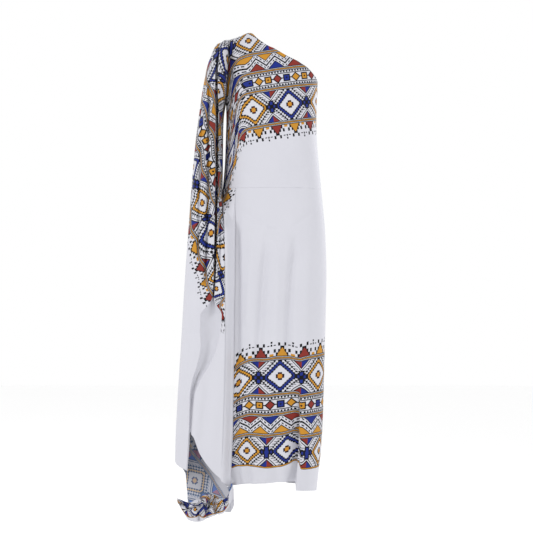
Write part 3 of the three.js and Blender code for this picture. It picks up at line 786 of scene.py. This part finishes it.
def edge(y):
    """The line that ends the print."""
    return {
        "ochre": size_of(y) < 0.0014,
        "black": size_of(y) > 0.0014,
    }


def fringe(u, d):
    """Stepped points standing off the first band's edge, with bars between; d is below 0 here."""
    run = PITCH / 2
    out = d * -1.0
    x = size_of(centred(u, run))
    ring, rim, cell = stepped(x, out * 0.60, 0.0062)
    third = odd(u / run)
    line = rim & numbered(ring, 2, 2)
    beads = numbered(ring, 4, 4) & cell | numbered(ring, 6, 6) & cell & (out < 0.034)
    far = run / 2 - x
    knot = both_under(far, out, 0.0055, 0.007)
    bars = [both_under(far, size_of(out - place), 0.0022, 0.0030) for place in (0.033, 0.042)]
    return {
        "black": line | beads | (bars[0] | bars[1]) & no(knot),
        "ochre": (ring < 2.5) & no(third) & no(line) | knot,
        "red": (ring < 2.5) & third & no(line),
    }


# From the fringe's foot down: what is printed, its start and its end, metres
LAYOUT = (
    ("stripes", 0.000, 0.014), ("lozenges", 0.014, 0.112), ("stripes", 0.112, 0.126),
    ("checks", 0.126, 0.172), ("stripes", 0.172, 0.186), ("zigzag", 0.186, 0.236),
    ("stripes", 0.236, 0.250), ("lozenges", 0.250, 0.338), ("edge", 0.338, 0.344),
)
BAND_SHIFT = 0.037  # each band starts this much farther along than the one before it
FRINGE_REACH = 0.07
PRINT_SHAKE = 0.0016  # how far the print's lines waver
INKS = {
    "grey": (0.12, 0.12, 0.135),
    "ochre": (0.43, 0.20, 0.022),
    "red": (0.185, 0.024, 0.018),
    "blue": (0.010, 0.022, 0.175),
    "black": (0.004, 0.004, 0.006),
}


def band(kind, number, u, y, half):
    """What one band prints, as masks by ink; y is from its middle."""
    if kind == "stripes":
        return stripes(y)
    if kind == "edge":
        return edge(y)
    along = u + BAND_SHIFT * number
    if kind == "checks":
        return checks(along, y)
    if kind == "zigzag":
        return zigzag(along, y, half)
    return lozenges(along, y, half)


def printed_masks(u, d):
    """Where each ink is over the whole print."""
    masks = {}
    for number, (kind, start, end) in enumerate(LAYOUT):
        here = within(d, start, end)
        for ink, mask in band(kind, number, u, d - (start + end) / 2, (end - start) / 2).items():
            masks.setdefault(ink, []).append(mask & here)
    for ink, mask in fringe(u, d).items():
        masks[ink].append(mask & within(d, -FRINGE_REACH, 0.0))
    return {ink: functools.reduce(Field.__or__, masks[ink]) for ink in INKS}


def noise(tree, place, scale, detail):
    node = tree.nodes.new("ShaderNodeTexNoise")
    node.inputs["Scale"].default_value = scale
    node.inputs["Detail"].default_value = detail
    tree.links.new(place, node.inputs["Vector"])
    return node.outputs[0]


def mixed(tree, share, first, second):
    """A Mix node's colour. Each value is a socket or a constant."""
    node = tree.nodes.new("ShaderNodeMix")
    node.data_type = "RGBA"
    for place, value in ((0, share), (6, first), (7, second)):
        if isinstance(value, bpy.types.NodeSocket):
            tree.links.new(value, node.inputs[place])
        else:
            node.inputs[place].default_value = (*value, 1) if isinstance(value, tuple) else value
    return node.outputs[2]


def print_group():
    tree = bpy.data.node_groups.new("border_print", "ShaderNodeTree")
    tree.interface.new_socket("Place", in_out="INPUT", socket_type="NodeSocketVector")
    tree.interface.new_socket("Ground", in_out="INPUT", socket_type="NodeSocketColor")
    tree.interface.new_socket("Color", in_out="OUTPUT", socket_type="NodeSocketColor")
    tree.interface.new_socket("Ink", in_out="OUTPUT", socket_type="NodeSocketFloat")
    source, sink = tree.nodes.new("NodeGroupInput"), tree.nodes.new("NodeGroupOutput")
    Field.tree = tree
    split = tree.nodes.new("ShaderNodeSeparateXYZ")
    tree.links.new(source.outputs["Place"], split.inputs[0])
    shake = (Field(noise(tree, source.outputs["Place"], 60.0, 2.0)) - 0.5) * PRINT_SHAKE
    masks = printed_masks(Field(split.outputs[0]) + shake, Field(split.outputs[1]) - shake)
    colour = source.outputs["Ground"]
    for ink, mask in masks.items():
        colour = mixed(tree, mask.socket, colour, INKS[ink])
    tree.links.new(colour, sink.inputs["Color"])
    tree.links.new(functools.reduce(Field.__or__, masks.values()).socket, sink.inputs["Ink"])
    return tree


GROUND = (0.483, 0.483, 0.527), (0.509, 0.509, 0.550)
REVERSE_FADE, REVERSE_TINT, REVERSE_TINTED = 0.6, (0.30, 0.48, 0.82), 0.24


def cloth_material(name, group, reverse):
    m = bpy.data.materials.new(name)
    m.use_nodes = True
    tree = m.node_tree
    shader = tree.nodes["Principled BSDF"]
    shader.inputs["Roughness"].default_value = 0.62
    shader.inputs["Sheen Weight"].default_value = 0.03
    shader.inputs["Specular IOR Level"].default_value = 0.12
    place = tree.nodes.new("ShaderNodeUVMap")
    place.uv_map = "print"
    ground = mixed(tree, noise(tree, place.outputs[0], 9.0, 3.0), *GROUND)
    printed = tree.nodes.new("ShaderNodeGroup")
    printed.node_tree = group
    tree.links.new(place.outputs[0], printed.inputs["Place"])
    tree.links.new(ground, printed.inputs["Ground"])
    colour = printed.outputs["Color"]
    if reverse:
        faded = tree.nodes.new("ShaderNodeGamma")
        faded.inputs["Gamma"].default_value = REVERSE_FADE
        tree.links.new(colour, faded.inputs["Color"])
        tinted = mixed(tree, REVERSE_TINTED, faded.outputs[0], REVERSE_TINT)
        colour = mixed(tree, printed.outputs["Ink"], ground, tinted)
    tree.links.new(colour, shader.inputs["Base Color"])
    weave = tree.nodes.new("ShaderNodeBump")
    weave.inputs["Strength"].default_value = 0.25
    weave.inputs["Distance"].default_value = 0.0004
    tree.links.new(noise(tree, place.outputs[0], 900.0, 2.0), weave.inputs["Height"])
    tree.links.new(weave.outputs[0], shader.inputs["Normal"])
    return m


def cloth(name, point, place, side, materials):
    """A closed thin shell on a grid of points, absent where they are NaN.

    Its face, outwards on the side it is on, has the first of the materials and its reverse the second.
    """
    there = ~np.isnan(point[..., 0])
    index = np.full(there.shape, -1)
    index[there] = np.arange(there.sum())
    p, uv = point[there] / 1000, place[there]
    corners = [index[:-1, :-1], index[1:, :-1], index[1:, 1:], index[:-1, 1:]]
    quads = np.stack(corners, -1)[np.all([c >= 0 for c in corners], axis=0)]
    if side == BACK:
        quads = quads[:, ::-1]
    across = np.cross(p[quads[:, 2]] - p[quads[:, 0]], p[quads[:, 3]] - p[quads[:, 1]])
    across /= np.maximum(np.linalg.norm(across, axis=1, keepdims=True), 1e-12)
    normal = np.zeros_like(p)
    for k in range(4):
        np.add.at(normal, quads[:, k], across)
    normal /= np.maximum(np.linalg.norm(normal, axis=1, keepdims=True), 1e-12)
    n, half = len(p), THICK / 2000
    vertices = np.concatenate([p + normal * half, p - normal * half])
    a = quads.ravel()
    b = np.roll(quads, -1, axis=1).ravel()
    rim = ~np.isin(a * n + b, b * n + a)
    a, b = a[rim], b[rim]
    faces = np.concatenate([quads, quads[:, ::-1] + n, np.stack([b, a, a + n, b + n], 1)])
    mesh = bpy.data.meshes.new(name)
    mesh.vertices.add(len(vertices))
    mesh.vertices.foreach_set("co", vertices.ravel())
    mesh.loops.add(faces.size)
    mesh.loops.foreach_set("vertex_index", faces.ravel())
    mesh.polygons.add(len(faces))
    mesh.polygons.foreach_set("loop_start", np.arange(0, faces.size, 4))
    mesh.polygons.foreach_set("use_smooth", np.ones(len(faces), bool))
    mesh.polygons.foreach_set(
        "material_index", np.repeat([0, 1, 0], [len(quads), len(quads), len(a)])
    )
    for m in materials:
        mesh.materials.append(m)
    layer = mesh.uv_layers.new(name="print")
    layer.data.foreach_set("uv", uv[faces.ravel() % n].ravel())
    mesh.update()
    mesh.validate()
    o = bpy.data.objects.new(name, mesh)
    bpy.context.scene.collection.objects.link(o)
    return o


group = print_group()
face, reverse = cloth_material("crepe_face", group, False), cloth_material("crepe_reverse", group, True)


def made(node, side, point, u, d, flat):
    """One piece of the dress, in place of its CAD node."""
    place = np.stack(np.broadcast_arrays(u, d), -1).astype(float)
    o = cloth(node + "_cloth", point, place, side, (face, reverse))
    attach(o, "root")
    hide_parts(node)


point, turn = bodice(FRONT, 170, 130, FRONT_BODICE_FOLDS)
made("front_bodice", FRONT, point, *bodice_print(FRONT, turn, point), (0.42, 0.53))
point, turn = bodice(BACK, 130, 110, BACK_BODICE_FOLDS)
made("back_bodice", BACK, point, *bodice_print(BACK, turn, point), (0.40, 0.53))
point, turn = skirt(FRONT, 200, 190, FRONT_SKIRT_FOLDS)
made("front_skirt", FRONT, point, *skirt_print(FRONT, turn, point), (0.49, 0.99))
point, turn = skirt(BACK, 160, 150, BACK_SKIRT_FOLDS)
made("back_skirt", BACK, point, *skirt_print(BACK, turn, point), (0.47, 0.99))
point, across = drape_front(70, 200)
made("drape_front", FRONT, point, *drape_front_print(point, across), (0.24, 1.44))
point, first, columns = drape_back(70, 170)
made("drape_back", BACK, point, *drape_back_print(point, first, columns), (0.26, 1.60))


# Floor, light and camera

FLOOR_Z, FLOOR_HALF = -2.1, 9.0


def plain(name, colour):
    m = bpy.data.materials.new(name)
    m.use_nodes = True
    m.node_tree.nodes["Principled BSDF"].inputs["Base Color"].default_value = (*colour, 1)
    m.node_tree.nodes["Principled BSDF"].inputs["Roughness"].default_value = 0.9
    return m


floor_mesh = bpy.data.meshes.new("floor")
corners = [(x * FLOOR_HALF, y * FLOOR_HALF, FLOOR_Z) for x, y in ((-1, -1), (1, -1), (1, 1), (-1, 1))]
floor_mesh.from_pydata(corners, [], [(0, 1, 2, 3)])
floor_mesh.materials.append(plain("floor_pale", (0.97, 0.97, 0.97)))
floor = bpy.data.objects.new("floor", floor_mesh)
bpy.context.scene.collection.objects.link(floor)

world = bpy.data.worlds.new("studio")
bpy.context.scene.world = world
world.use_nodes = True
world.node_tree.nodes["Background"].inputs["Color"].default_value = (1.0, 1.0, 1.0, 1)
world.node_tree.nodes["Background"].inputs["Strength"].default_value = 1.0
bpy.context.scene.view_settings.view_transform = "Standard"

LIT = np.array([0.1, 0, -0.8])


def soft_light(name, at, size, power):
    """A disk turned towards the middle of the dress."""
    data = bpy.data.lights.new(name, "AREA")
    data.shape = "DISK"
    data.size = size
    data.energy = power
    o = bpy.data.objects.new(name, data)
    bpy.context.scene.collection.objects.link(o)
    o.location = at
    x, y, z = np.array(at) - LIT
    o.rotation_euler = (math.atan2(math.hypot(x, y), z), 0, math.atan2(x, -y))


soft_light("left", (-2.9, -2.2, 0.5), 1.1, 54)
soft_light("right", (3.0, -2.2, 0.3), 1.4, 36)
soft_light("behind", (2.7, 2.4, 0.3), 1.2, 40)

PHOTO_SIDE, PIXEL = 533, 0.0033  # the photograph's pixels each way, and metres to a pixel
PHOTO_MIDDLE_X, PHOTO_MIDDLE_Z = 0.104, -0.75075
AWAY, SENSOR = 3.7, 36

camera_data = bpy.data.cameras.new("camera")
camera_data.sensor_width = SENSOR
camera_data.lens = SENSOR * AWAY / (PHOTO_SIDE * PIXEL)
camera = bpy.data.objects.new("camera", camera_data)
camera.location = (PHOTO_MIDDLE_X, -AWAY, PHOTO_MIDDLE_Z)
camera.rotation_euler = (math.pi / 2, 0, 0)
bpy.context.scene.collection.objects.link(camera)
bpy.context.scene.camera = camera
